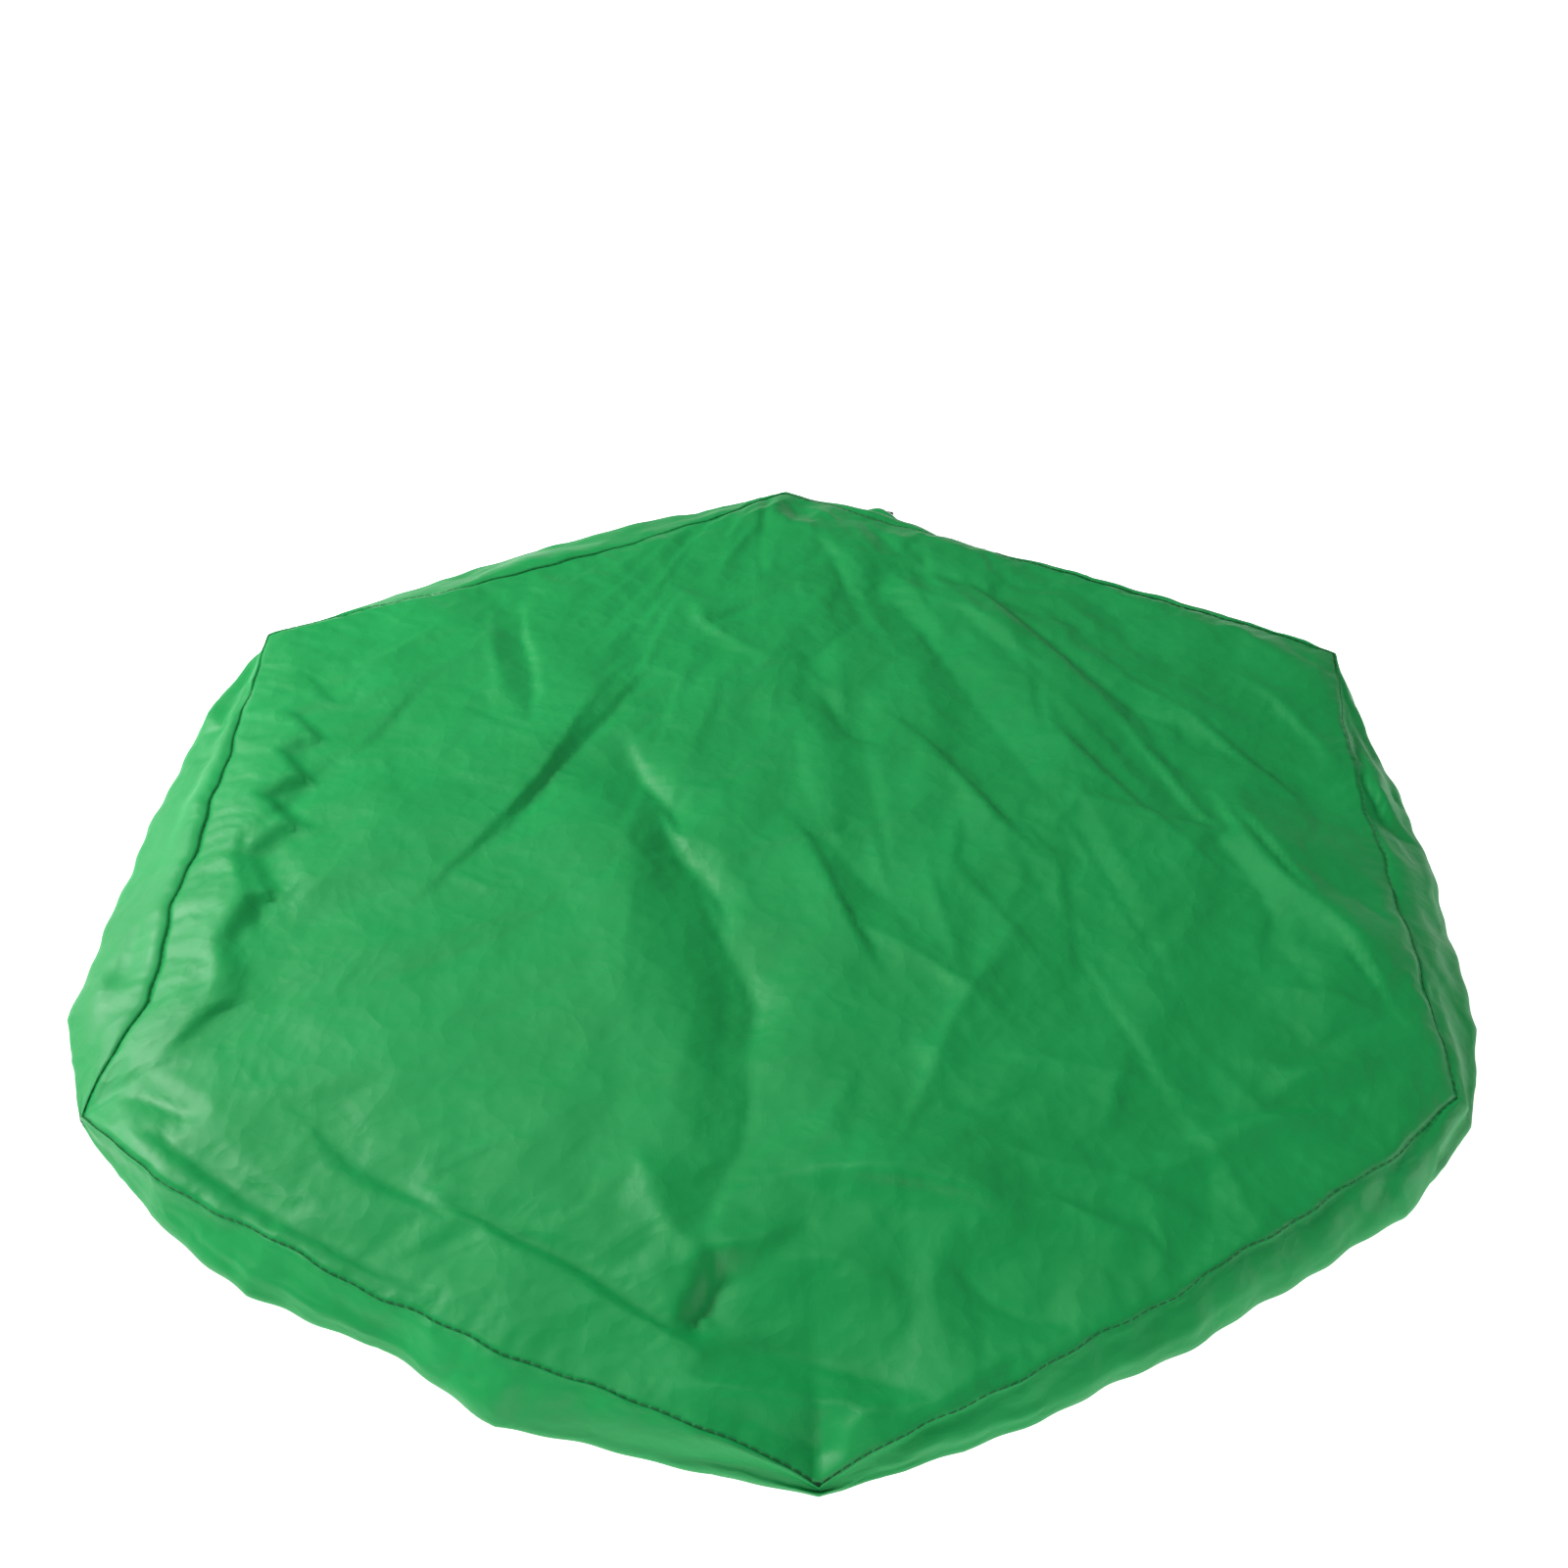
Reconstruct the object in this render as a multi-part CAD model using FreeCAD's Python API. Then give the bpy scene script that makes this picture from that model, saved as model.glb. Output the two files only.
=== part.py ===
import FreeCAD, Part
import math
import os

# Hexagonal drawstring cover, laid right side up on the ground.
# Millimetres, +Z up. The origin is the middle of the hexagon, on the ground.
# Corners of the hexagon point along +Y and -Y. Its skirt puffs out past the
# sewn edge, folds under and ends in a drawn-in hem round an open middle.

# --- Cloth ---------------------------------------------------------------
corner_radius = 700.0       # middle of the cover to a corner of the top seam
side_bulge = 60.0           # how far the skirt puffs out at the middle of a side
seam_height = 52.0          # height of the top seam over the ground
fold_radius = 20.0          # rounding where the skirt turns down and under
corner_ease = 2.0           # level cloth between the seam's corner and that rounding
flap_height = 24.0          # below this the skirt counts as the flap folded under
cloth = 1.0                 # coated cloth with its small creases
crown_height = 10.0         # how far the top panel stands above its seam
crown_radius = 450.0        # corner of the level middle of the top panel

# --- Hem and its casing ----------------------------------------------------
hem_radius = 530.0          # middle of the drawn-in hem's tunnel
casing_width = 18.0
casing_height = 14.0
casing_rounding = 4.0
casing_bore = 8.0           # tunnel that the drawstring runs in
join_offset = 70.0          # join of the skirt strip, from the middle of its side
mouth_offset = 200.0        # the tunnel's second mouth, on the same side

# --- Sewing ------------------------------------------------------------------
thread = 0.5
seam_margin = 3.0           # thread line to the edge of the cloth it holds
bartack_length = 10.0
bartack_width = 2.0
bartack_setback = 4.6       # from the tunnel's mouth back along the tunnel

# --- Drawstring and its two free ends ------------------------------------------
cord_diameter = 5.0
knot_radius = 4.8
knot_setback = 3.4          # middle of the knot, past the cord's end

# --- Spring cord lock -----------------------------------------------------------
lock_x = 112.0              # middle of the two cords
lock_setback = 30.0         # from the hem's line out to the lock
lock_width = 15.0           # along the cords
lock_height = 14.0
lock_rounding = 3.0
lock_end_wall = 3.0         # barrel wall between the cord hole and the open end
lock_bottom_wall = 2.0
plunger_diameter = 10.0
plunger_travel = 4.0
plunger_web = 2.5           # plunger wall between the cord hole and the spring
cap_diameter = 13.0
cap_thickness = 4.0
cap_rounding = 1.0
stop_gap = 0.1
bore_clearance = 0.05       # radial, plunger in barrel
cord_pinch_gap = 0.05       # cord to the two walls that hold it
cord_play = 0.8             # cord to every other wall of the holes
cord_spacing = 0.4          # between the two cords
spring_wire = 0.8
spring_diameter = 6.5       # middle of the wire
spring_turns = 4
spring_gap = 0.1            # at each end of the spring

# --- Raised channel where the skirt lies over the lock and the free ends ---------
channel_half_width = 34.0   # at the ground
channel_height = 22.0

# --- Worked out from the above --------------------------------------------------
apothem = corner_radius * math.cos(math.radians(30))
puffed_corner = corner_radius + fold_radius + corner_ease
puffed_apothem = puffed_corner * math.cos(math.radians(30))
half_side = puffed_corner / 2
arc_rise = apothem + side_bulge - puffed_apothem
arc_radius = (half_side ** 2 + arc_rise ** 2) / (2 * arc_rise)
arc_centre = puffed_apothem + arc_rise - arc_radius
flap_edge_radius = hem_radius + casing_width / 2
channel_start = hem_radius - casing_width
lock_y = hem_radius + lock_setback
cord_height = lock_height / 2
reach = 2 * corner_radius   # past the whole cover, for cutting shapes
overcut = 1.0               # how far a cutting shape stands past what it cuts
tolerance = 0.001

join_side_angle = 60.0
join_angle = join_side_angle + math.degrees(math.asin(join_offset / hem_radius))
mouth_angle = join_side_angle + math.degrees(math.asin(mouth_offset / hem_radius))
bartack_angle = math.degrees(bartack_setback / hem_radius)

# The free ends' routes, on from the tunnel's mouths, through the lock, to the knots.
long_end_route = [
    (176.7, 500.4, 7.0),
    (146.0, 508.5, 5.0),
    (123.5, 518.0, 5.6),
    (114.7, 537.0, 7.0),
    (114.7, 612.0, 7.0),
    (116.8, 645.0, 3.2),
    (122.5, 673.0, 2.8),
    (121.0, 697.0, 4.0),
]
short_end_route = [
    (84.1, 523.4, 7.0),
    (97.0, 524.8, 6.8),
    (106.3, 534.5, 6.8),
    (109.3, 546.5, 7.0),
    (109.3, 612.0, 7.0),
    (106.5, 642.0, 3.2),
    (99.0, 667.0, 2.8),
    (97.5, 689.0, 4.0),
]

ORIGIN = FreeCAD.Vector(0, 0, 0)
UP = FreeCAD.Vector(0, 0, 1)

os.makedirs("parts", exist_ok=True)


def save(shape, node):
    shape.exportStep("parts/" + node + ".step")


def polar(radius, angle, z=0.0):
    turn = math.radians(angle)
    return FreeCAD.Vector(radius * math.cos(turn), radius * math.sin(turn), z)


def prism(points, bottom, top):
    """An upright prism on a closed plan of points."""
    corners = [FreeCAD.Vector(p.x, p.y, bottom) for p in points]
    face = Part.Face(Part.makePolygon(corners + corners[:1]))
    return face.extrude(UP * (top - bottom))


# --- The laid cover's cloth ----------------------------------------------------
def puffed_plan(inset, bottom):
    """The cover's plan: six shallow arcs that meet at the corners."""
    radius = arc_radius - inset
    along = arc_centre * math.cos(math.radians(30))
    corner = along + math.sqrt(along ** 2 - arc_centre ** 2 + radius ** 2)
    arcs = []
    for side_angle in range(0, 360, 60):
        arcs.append(
            Part.Arc(
                polar(corner, side_angle - 30, bottom),
                polar(arc_centre + radius, side_angle, bottom),
                polar(corner, side_angle + 30, bottom),
            ).toShape()
        )
    return Part.Face(Part.Wire(arcs))


def pillow(inset):
    """The laid cover's outside, or its inside when inset by the cloth."""
    height = seam_height - 2 * inset
    block = puffed_plan(inset, inset).extrude(UP * height)
    rims = [e for e in block.Edges if e.BoundBox.ZLength < tolerance]
    return block.makeFillet(fold_radius - inset, rims)


def channel(extra):
    """The arched passage under the skirt, or the cloth's outside over it."""
    half = channel_half_width + extra
    height = channel_height + extra
    drop = (half ** 2 - height ** 2) / (2 * height)
    start = FreeCAD.Vector(lock_x, channel_start, -drop)
    return Part.makeCylinder(height + drop, reach, start, FreeCAD.Vector(0, 1, 0))


def wedge(from_angle, to_angle):
    """Everything between two upright planes through the middle."""
    plan = [ORIGIN, polar(reach, from_angle), polar(reach, to_angle)]
    return prism(plan, -overcut, seam_height + overcut)


def hexagon(radius, bottom):
    corners = [polar(radius, angle, bottom) for angle in range(30, 450, 60)]
    return Part.makePolygon(corners)


def crown(bottom):
    """A low six-sided mound, from its edge's height up."""
    rings = [hexagon(corner_radius, bottom), hexagon(crown_radius, bottom + crown_height)]
    return Part.makeLoft(rings, True, True)


def make_top_panel():
    edge = Part.Face(hexagon(corner_radius, seam_height - cloth)).extrude(UP * cloth)
    return edge.fuse(crown(seam_height)).cut(crown(seam_height - cloth)).removeSplitter()


def make_skirt():
    """The whole skirt strip: shoulder, rounded wall and the flap folded under.

    The flap, and the arch in it, begin at the tunnel's outer edge.
    """
    outside = pillow(0.0).cut(channel(0.0))
    inside = pillow(cloth).cut(channel(cloth))
    below = FreeCAD.Vector(0, 0, -overcut)
    mouth = Part.makeCylinder(flap_edge_radius, flap_height + overcut, below)
    panel_place = Part.Face(hexagon(corner_radius, seam_height - 2 * cloth)).extrude(UP * 3 * cloth)
    return outside.cut(inside).cut(mouth).cut(panel_place)


def layer(bottom, top):
    """Everything between two heights."""
    corner = FreeCAD.Vector(-reach, -reach, bottom)
    return Part.makeBox(2 * reach, 2 * reach, top - bottom, corner)


def join_half(sign):
    """One side of the upright plane in which the strip's two ends are sewn."""
    out = polar(1.0, join_side_angle)
    along = polar(1.0, join_side_angle + 90)
    foot = along * join_offset
    plan = [
        foot,
        foot + out * reach,
        foot + out * reach + along * sign * reach,
        foot + along * sign * reach,
    ]
    return prism(plan, -overcut, seam_height + overcut)


def make_casing(from_angle, to_angle):
    """A stretch of the hem's tunnel. Its square edge runs on into the flap."""
    corner = FreeCAD.Vector(hem_radius - casing_width / 2, 0, 0)
    blank = Part.makeBox(casing_width, cloth, casing_height, corner)
    long_edges = [e for e in blank.Edges if e.BoundBox.YLength > cloth / 2]
    free_edges = [e for e in long_edges if e.BoundBox.XMin < hem_radius or e.BoundBox.ZMin > 0]
    blank = blank.makeFillet(casing_rounding, free_edges)
    section = [f for f in blank.Faces if f.BoundBox.YMax < tolerance][0]
    middle = FreeCAD.Vector(hem_radius, 0, cord_height)
    rim = Part.Circle(middle, FreeCAD.Vector(0, 1, 0), casing_bore / 2).toShape()
    section = section.cut(Part.Face(Part.Wire(rim)))
    section.rotate(ORIGIN, UP, from_angle)
    return section.revolve(ORIGIN, UP, to_angle - from_angle)


# --- Sewing thread -----------------------------------------------------------------
def thread_bar(start, end, bottom):
    """A straight row of stitches, as one thin bar."""
    run = end - start
    across = FreeCAD.Vector(-run.y, run.x, 0).normalize() * thread / 2
    return prism([start - across, end - across, end + across, start + across], bottom, bottom + thread)


def make_top_seam_thread():
    line_radius = corner_radius + seam_margin / math.cos(math.radians(30))
    bars = []
    for side_angle in range(0, 360, 60):
        start = polar(line_radius, side_angle - 30)
        end = polar(line_radius, side_angle + 30)
        ease = (end - start).normalize() * fold_radius
        bars.append(thread_bar(start + ease, end - ease, seam_height - cloth - thread))
    return Part.makeCompound(bars)


def make_hem_thread():
    inner = flap_edge_radius + seam_margin
    strip = Part.makePolygon(
        [
            FreeCAD.Vector(inner, 0, cloth),
            FreeCAD.Vector(inner + thread, 0, cloth),
            FreeCAD.Vector(inner + thread, 0, cloth + thread),
            FreeCAD.Vector(inner, 0, cloth + thread),
            FreeCAD.Vector(inner, 0, cloth),
        ]
    )
    section = Part.Face(strip)
    section.rotate(ORIGIN, UP, mouth_angle)
    return section.revolve(ORIGIN, UP, 360 + join_angle - mouth_angle)


def make_join_thread():
    out = polar(1.0, join_side_angle)
    along = polar(1.0, join_side_angle + 90)
    bars = []
    for step in (-1, 1):
        foot = along * (join_offset + step * seam_margin)
        start = foot + out * (flap_edge_radius + 2 * seam_margin)
        end = foot + out * (apothem + side_bulge - 2 * fold_radius)
        bars.append(thread_bar(start, end, cloth))
    return Part.makeCompound(bars)


def make_bartacks():
    tacks = []
    for angle in (join_angle - bartack_angle, mouth_angle + bartack_angle):
        start = hem_radius - bartack_length / 2
        corner = FreeCAD.Vector(start, -bartack_width / 2, casing_height)
        block = Part.makeBox(bartack_length, bartack_width, 2 * thread, corner)
        block.rotate(ORIGIN, UP, angle)
        tacks.append(block)
    return Part.makeCompound(tacks)


# --- Drawstring ---------------------------------------------------------------------
def make_drawstring():
    """The cord inside the hem's tunnel, once round from mouth to mouth."""
    start = polar(hem_radius, mouth_angle, cord_height)
    across = polar(1.0, mouth_angle + 90)
    section = Part.Face(Part.Wire(Part.Circle(start, across, cord_diameter / 2).toShape()))
    return section.revolve(ORIGIN, UP, 360 + join_angle - mouth_angle)


def free_route(exit_angle, route):
    """The whole route of a free end, from where the drawstring leaves the tunnel."""
    return [polar(hem_radius, exit_angle, cord_height)] + [FreeCAD.Vector(*p) for p in route]


def cord_path(points, name):
    """Straight runs joined by tangent arcs, each as large as its two runs allow."""
    edges = []
    here = points[0]
    radii = []
    for before, corner, after in zip(points, points[1:], points[2:]):
        back = (before - corner).normalize()
        ahead = (after - corner).normalize()
        turn = math.pi - back.getAngle(ahead)
        shorter = min(corner.distanceToPoint(before), corner.distanceToPoint(after))
        cut = 0.45 * shorter
        radius = cut / math.tan(turn / 2)
        arc_start = corner + back * cut
        arc_end = corner + ahead * cut
        middle_way = (back + ahead).normalize()
        arc_middle = corner + middle_way * (radius / math.cos(turn / 2) - radius)
        edges.append(Part.LineSegment(here, arc_start).toShape())
        edges.append(Part.Arc(arc_start, arc_middle, arc_end).toShape())
        here = arc_end
        radii.append(round(radius, 1))
    edges.append(Part.LineSegment(here, points[-1]).toShape())
    path = Part.Wire(edges)
    print(name, "length", round(path.Length, 1), "arc radii", radii)
    return path


def make_cord_end(route, name):
    path = cord_path(route, name)
    ahead = route[1] - route[0]
    section = Part.Wire(Part.Circle(route[0], ahead, cord_diameter / 2).toShape())
    tube = path.makePipeShell([section], True, False)
    expected = math.pi * cord_diameter ** 2 / 4 * path.Length
    print(name, "volume over section times length", round(tube.Volume / expected, 4))
    return tube


def make_knot(route):
    """A stopper knot as a ball, cut flat where it meets the cord's end."""
    end = route[-1]
    ahead = (end - route[-2]).normalize()
    middle = end + ahead * knot_setback
    middle.z = knot_radius
    ball = Part.makeSphere(knot_radius, middle)
    cord_side = Part.makeCylinder(2 * knot_radius, 4 * knot_radius, end, ahead * -1)
    return ball.cut(cord_side)


# --- Cord lock, with its plunger along X and the cords along Y -----------------------
pair_half = cord_diameter + cord_spacing / 2
hole_height = cord_diameter + cord_play
barrel_end = pair_half + cord_pinch_gap + lock_end_wall
cap_seat = barrel_end + plunger_travel + stop_gap
plunger_tail = -(pair_half + cord_pinch_gap + plunger_web)
spring_room = spring_turns * spring_wire + spring_wire + plunger_travel
barrel_floor = plunger_tail - spring_room
barrel_back = barrel_floor - lock_bottom_wall
AXIS_X = FreeCAD.Vector(1, 0, 0)


def lock_point(across, z=0.0):
    """A point of the lock, measured from the middle between the two cords."""
    return FreeCAD.Vector(lock_x + across, lock_y, z)


def lock_slot(low, high, height):
    """A cord hole right through the lock, along Y."""
    corner = lock_point(low, cord_height - height / 2)
    corner.y = lock_y - lock_width
    return Part.makeBox(high - low, 2 * lock_width, height, corner)


def lock_round(low, high, radius):
    """A round length on the plunger's axis."""
    return Part.makeCylinder(radius, high - low, lock_point(low, cord_height), AXIS_X)


def make_lock_barrel():
    corner = lock_point(barrel_back)
    corner.y = lock_y - lock_width / 2
    block = Part.makeBox(barrel_end - barrel_back, lock_width, lock_height, corner)
    block = block.makeFillet(lock_rounding, block.Edges)
    bore = lock_round(barrel_floor, barrel_end + overcut, plunger_diameter / 2 + bore_clearance)
    hole = lock_slot(-pair_half - cord_play, pair_half + cord_pinch_gap, hole_height)
    return block.cut(bore).cut(hole)


def make_lock_plunger():
    stem = lock_round(plunger_tail, cap_seat, plunger_diameter / 2)
    cap = lock_round(cap_seat, cap_seat + cap_thickness, cap_diameter / 2)
    cap = cap.makeFillet(cap_rounding, [e for e in cap.Edges if len(e.Vertexes) == 1])
    grip = pair_half + cord_pinch_gap
    hole = lock_slot(-grip, grip + plunger_travel, hole_height)
    return stem.fuse(cap).cut(hole).removeSplitter()


def make_lock_spring():
    length = spring_room - spring_wire - 2 * spring_gap
    coil = Part.makeHelix(length / spring_turns, length, spring_diameter / 2)
    start = FreeCAD.Vector(spring_diameter / 2, 0, 0)
    wire = Part.Wire(Part.Circle(start, FreeCAD.Vector(0, 1, 0), spring_wire / 2).toShape())
    spring = Part.Wire(coil.Edges).makePipeShell([wire], True, True)
    spring.rotate(ORIGIN, FreeCAD.Vector(0, 1, 0), 90)
    spring.translate(lock_point(barrel_floor + spring_wire / 2 + spring_gap, cord_height))
    return spring


# --- Build ------------------------------------------------------------------------------
side_names = {
    0: "right",
    60: "back_right",
    120: "back_left",
    180: "left",
    240: "front_left",
    300: "front_right",
}

save(make_top_panel(), "top_panel")
skirt = make_skirt()
skirt_upper = skirt.common(layer(flap_height, seam_height + overcut))
skirt_lower = skirt.common(layer(-overcut, flap_height))
for side_angle, side_name in side_names.items():
    side_wedge = wedge(side_angle - 30, side_angle + 30)
    wall = skirt_upper.common(side_wedge)
    flap = skirt_lower.common(side_wedge)
    start_angle = side_angle - 30
    end_angle = side_angle + 30
    if side_angle == join_side_angle:
        save(wall.common(join_half(1)), "skirt_strip_end")
        save(flap.common(join_half(1)), "flap_strip_end")
        wall = wall.common(join_half(-1))
        flap = flap.common(join_half(-1))
        end_angle = join_angle
    if side_angle == join_side_angle + 60:
        start_angle = mouth_angle
    save(wall, "skirt_" + side_name)
    save(flap, "flap_" + side_name)
    save(make_casing(start_angle, end_angle), "casing_" + side_name)

save(make_top_seam_thread(), "top_seam_thread")
save(make_hem_thread(), "hem_thread")
save(make_join_thread(), "join_thread")
save(make_bartacks(), "casing_bartacks")

save(make_drawstring(), "drawstring")
for end_name, exit_angle, end_route in (
    ("long", join_angle, long_end_route),
    ("short", mouth_angle, short_end_route),
):
    whole_route = free_route(exit_angle, end_route)
    save(make_cord_end(whole_route, "cord_end_" + end_name), "cord_end_" + end_name)
    save(make_knot(whole_route), "knot_" + end_name)

save(make_lock_barrel(), "lock_barrel")
save(make_lock_plunger(), "lock_plunger")
save(make_lock_spring(), "lock_spring")
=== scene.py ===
# %% [markdown]
# # A hexagonal drawstring cover
# The real cover is sewn from thin coated cloth: one six-sided top panel, one long skirt
# strip, and a drawstring in the strip's hem. It lies right side up on the ground with its
# skirt puffed out and folded under. This lesson loads the design as a fixed frame, and
# then makes the camera, the cords, the cloth, the sewing and the finishes, in that order.

# %% Load the frame
import math
import bmesh
import bpy
import numpy as np
from mathutils import Matrix, Vector
from mathutils.bvhtree import BVHTree
from mathutils.geometry import delaunay_2d_cdt


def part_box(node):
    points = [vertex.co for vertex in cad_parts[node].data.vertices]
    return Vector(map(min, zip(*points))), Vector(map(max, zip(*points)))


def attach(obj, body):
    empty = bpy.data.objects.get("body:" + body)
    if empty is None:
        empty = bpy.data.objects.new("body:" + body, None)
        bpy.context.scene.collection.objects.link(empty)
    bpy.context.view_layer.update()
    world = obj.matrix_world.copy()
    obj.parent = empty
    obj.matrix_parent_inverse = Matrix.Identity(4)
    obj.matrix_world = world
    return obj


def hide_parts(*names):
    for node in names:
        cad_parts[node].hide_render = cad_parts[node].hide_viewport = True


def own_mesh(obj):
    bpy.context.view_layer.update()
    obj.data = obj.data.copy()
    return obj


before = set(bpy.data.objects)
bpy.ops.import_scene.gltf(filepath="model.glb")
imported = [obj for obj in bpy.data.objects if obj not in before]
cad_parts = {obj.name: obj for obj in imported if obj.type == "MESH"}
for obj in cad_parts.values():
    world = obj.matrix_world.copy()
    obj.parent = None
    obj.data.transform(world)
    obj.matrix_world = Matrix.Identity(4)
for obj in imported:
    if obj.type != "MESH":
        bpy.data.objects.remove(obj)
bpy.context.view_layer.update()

# %% [markdown]
# ## Camera
# The cover is seen from the front, about 41 degrees above the ground. A camera looks along
# its own -Z, so one turn about X sets how steeply it looks down and a small turn about its
# own Z tips the picture. Multiplying the matrices keeps the two turns apart.

# %% Place the camera
look_down = math.radians(40.73)
tip = math.radians(1.15)
eye = Vector((-0.0103, -1.3427, 1.2835))

focal_length = 41.21

lens = bpy.data.cameras.new("camera")
lens.lens = focal_length
camera = bpy.data.objects.new("camera", lens)
bpy.context.scene.collection.objects.link(camera)
turn_down = Matrix.Rotation(math.pi / 2 - look_down, 4, "X")
camera.matrix_world = Matrix.Translation(eye) @ turn_down @ Matrix.Rotation(tip, 4, "Z")
bpy.context.scene.camera = camera
print("camera at", list(eye))

# %% [markdown]
# ## The two free ends of the drawstring
# The drawstring leaves the hem's tunnel at two mouths. Both ends run to a spring cord
# lock, straight through it, and out under the skirt to a knot each. A mesh tube placed
# ring by ring could follow them, but a NURBS curve with a round bevel keeps a true length
# and stays easy to change: a few control points pull it into smooth bends. The order is
# set after the points, because before them it would fall back to straight runs. The
# finished curve is made a mesh, and so is its bare line, which tells where the cord runs.

# %% Lay the free ends
cord_width = 0.005
long_route = [
    (0.2021, 0.4900, 0.0070),
    (0.1767, 0.5004, 0.0070),
    (0.1460, 0.5085, 0.0050),
    (0.1235, 0.5180, 0.0056),
    (0.1147, 0.5370, 0.0070),
    (0.1147, 0.5579, 0.0070),
    (0.1147, 0.5788, 0.0070),
    (0.1147, 0.6120, 0.0070),
    (0.1168, 0.6450, 0.0032),
    (0.1225, 0.6670, 0.0028),
    (0.1212, 0.6872, 0.0036),
]
short_route = [
    (0.0722, 0.5251, 0.0070),
    (0.0841, 0.5234, 0.0070),
    (0.0970, 0.5248, 0.0068),
    (0.1063, 0.5345, 0.0068),
    (0.1093, 0.5465, 0.0070),
    (0.1093, 0.5589, 0.0070),
    (0.1093, 0.5816, 0.0070),
    (0.1093, 0.6120, 0.0070),
    (0.1065, 0.6420, 0.0032),
    (0.0990, 0.6620, 0.0028),
    (0.0975, 0.6800, 0.0036),
]


def add_piece(name, mesh, smooth=True):
    """An object at the origin that shows a mesh."""
    for face in mesh.polygons:
        face.use_smooth = smooth
    piece = bpy.data.objects.new(name, mesh)
    bpy.context.scene.collection.objects.link(piece)
    return piece


def to_piece(name, shape, smooth=True):
    """A finished bmesh as an object at the origin."""
    mesh = bpy.data.meshes.new(name)
    shape.to_mesh(mesh)
    shape.free()
    return add_piece(name, mesh, smooth)


def as_mesh(curve, name):
    """The mesh that a curve makes, as bpy's own conversion gives it."""
    holder = bpy.data.objects.new(name, curve)
    mesh = bpy.data.meshes.new_from_object(holder)
    bpy.data.objects.remove(holder)
    mesh.name = name
    return mesh


def lay_cord(name, route, width):
    """A round cord along one smooth NURBS line, with the route as its control points."""
    curve = bpy.data.curves.new(name, "CURVE")
    curve.dimensions = "3D"
    spline = curve.splines.new("NURBS")
    spline.points.add(len(route) - 1)
    for point, place in zip(spline.points, route):
        point.co = (*place, 1.0)
    spline.order_u = 3
    spline.use_endpoint_u = True
    spline.resolution_u = 10
    line = [vert.co.copy() for vert in as_mesh(curve, name + "_line").vertices]
    curve.bevel_depth = width / 2
    curve.bevel_resolution = 5
    curve.use_fill_caps = True
    return add_piece(name, as_mesh(curve, name)), line


long_end, long_line = lay_cord("drawstring_long_end", long_route, cord_width)
short_end, short_line = lay_cord("drawstring_short_end", short_route, cord_width)
for piece, node in ((long_end, "cord_end_long"), (short_end, "cord_end_short")):
    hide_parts(node)
    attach(piece, "cover")
print("free ends laid:", len(long_line), "and", len(short_line), "points along them")

# %% [markdown]
# ## The lock's spring
# The lock's plastic parts keep the design's own shapes. Its spring has to shorten when the
# button goes in, which a rigid part can't, so it is wound again here: a small ring of
# points is spun round the spring's middle line, and each step moves it a little along the
# line.

# %% Wind the spring
spring_wire = 0.0008
spring_turns = 4
steps_a_turn = 20
spring_low, spring_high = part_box("lock_spring")
spring_middle = (spring_low + spring_high) / 2
spring_radius = (spring_high.z - spring_low.z - spring_wire) / 2
spring_length = spring_high.x - spring_low.x


def wind_spring():
    """One small ring of points, spun round the spring's middle line as it moves along it."""
    coil = bmesh.new()
    bmesh.ops.create_circle(coil, segments=8, radius=spring_wire / 2)
    start_x = spring_low.x + spring_wire / 2
    first = Vector((start_x, spring_middle.y, spring_middle.z + spring_radius))
    stand = Matrix.Translation(first) @ Matrix.Rotation(math.pi / 2, 4, "X")
    bmesh.ops.transform(coil, verts=coil.verts[:], matrix=stand)
    steps = spring_turns * steps_a_turn
    bmesh.ops.spin(coil, geom=coil.edges[:], cent=spring_middle, axis=(1, 0, 0), steps=steps,
                   dvec=((spring_length - spring_wire) / steps, 0, 0),
                   angle=2 * math.pi * spring_turns)
    bmesh.ops.holes_fill(coil, edges=[e for e in coil.edges if e.is_boundary], sides=0)
    bmesh.ops.recalc_face_normals(coil, faces=coil.faces[:])
    return to_piece("lock_spring_wire", coil)


spring = wind_spring()
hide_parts("lock_spring")
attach(spring, "cord_lock")
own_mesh(spring)
print("spring wound:", round(spring_length * 1000, 1), "mm long")

# %% [markdown]
# ## Stopper knots
# Each free end is tied in an overhand knot, so it can't slip back through the lock. The
# knot could be a ball, but the crossing turns of the cord are what the eye looks for. A
# loop of the same cord is led round itself along a trefoil, a closed curve with three
# crossings, and is squashed to the knot's size.

# %% Tie the knots
knot_size = 0.0052
knot_cord = 0.0048
knot_setback = 0.0020
knot_points = 18
knot_depth = 0.8        # the knot's thickness along the cord, as a share of a full trefoil's
trefoil_reach = 3.6     # how far a trefoil of size one spreads
knot_floor = 0.0005


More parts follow.
